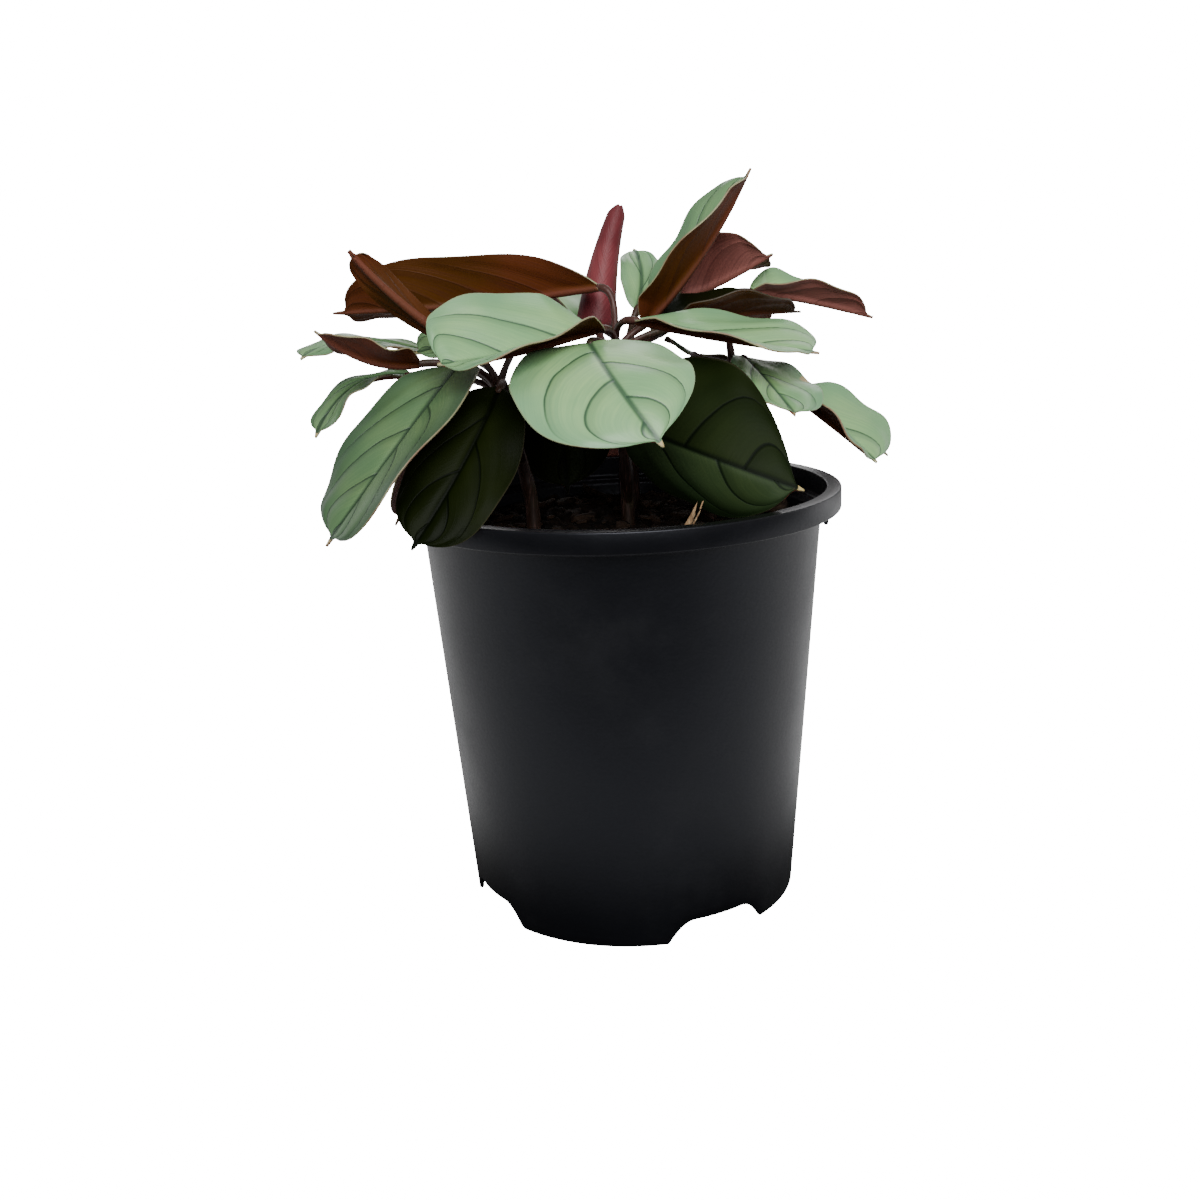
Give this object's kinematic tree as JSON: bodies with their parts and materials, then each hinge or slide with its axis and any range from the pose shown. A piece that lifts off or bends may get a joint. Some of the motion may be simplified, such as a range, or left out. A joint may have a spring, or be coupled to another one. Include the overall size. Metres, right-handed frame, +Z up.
{
  "type": "potted plant",
  "caption": "Round black nursery pot with a turned-down rim, holding a clump of upright stalks with oblong leaves, pale green with dark arched veins above and dark red below.",
  "frame": {"origin": "on the surface the pot stands on, below the middle of the whole plant's outline, on the pot's axis", "axes": "+Z up, +X to the right and -Y towards the viewer of the picture"},
  "size_m": [0.1867, 0.1412, 0.2142],
  "materials": {
    "pot_plastic": "satin moulded plastic",
    "potting_mix": "rough, crumbly",
    "stem": "smooth, satin",
    "leaf": "satin, dark arched veins above, dark red below",
    "young_leaf": "satin"
  },
  "bodies": {
    "root": {"pot": "pot_plastic", "potting_mix": "potting_mix", "shoot_a_stems": "stem", "leaf_front": "leaf", "leaf_left": "leaf", "leaf_upper_left": "leaf", "leaf_rolled": "young_leaf", "leaf_upright": "leaf", "leaf_right": "leaf", "leaf_right_behind": "leaf", "leaf_front_low": "leaf", "shoot_b_stems": "stem", "leaf_hanging_left": "leaf", "leaf_over_rim": "leaf", "leaf_narrow_left": "leaf", "leaf_far_left": "leaf", "leaf_outer_left": "leaf", "leaf_small_left": "leaf", "leaf_folded_left": "leaf", "shoot_c_stems": "stem", "leaf_back_right": "leaf", "leaf_lower_right": "leaf", "leaf_hanging_right": "leaf", "leaf_right_rear": "leaf", "leaf_inner_right": "leaf", "shoot_d_stems": "stem", "leaf_rear_upper_right": "leaf", "leaf_rear_upright": "leaf", "leaf_rear_inner": "leaf", "leaf_rear_left_low": "leaf", "leaf_rear_middle": "leaf", "leaf_rear_right_low": "leaf", "leaf_rear_side": "leaf", "leaf_rear_upper_left": "leaf", "leaf_rear_top": "leaf"}
  },
  "joints": []
}
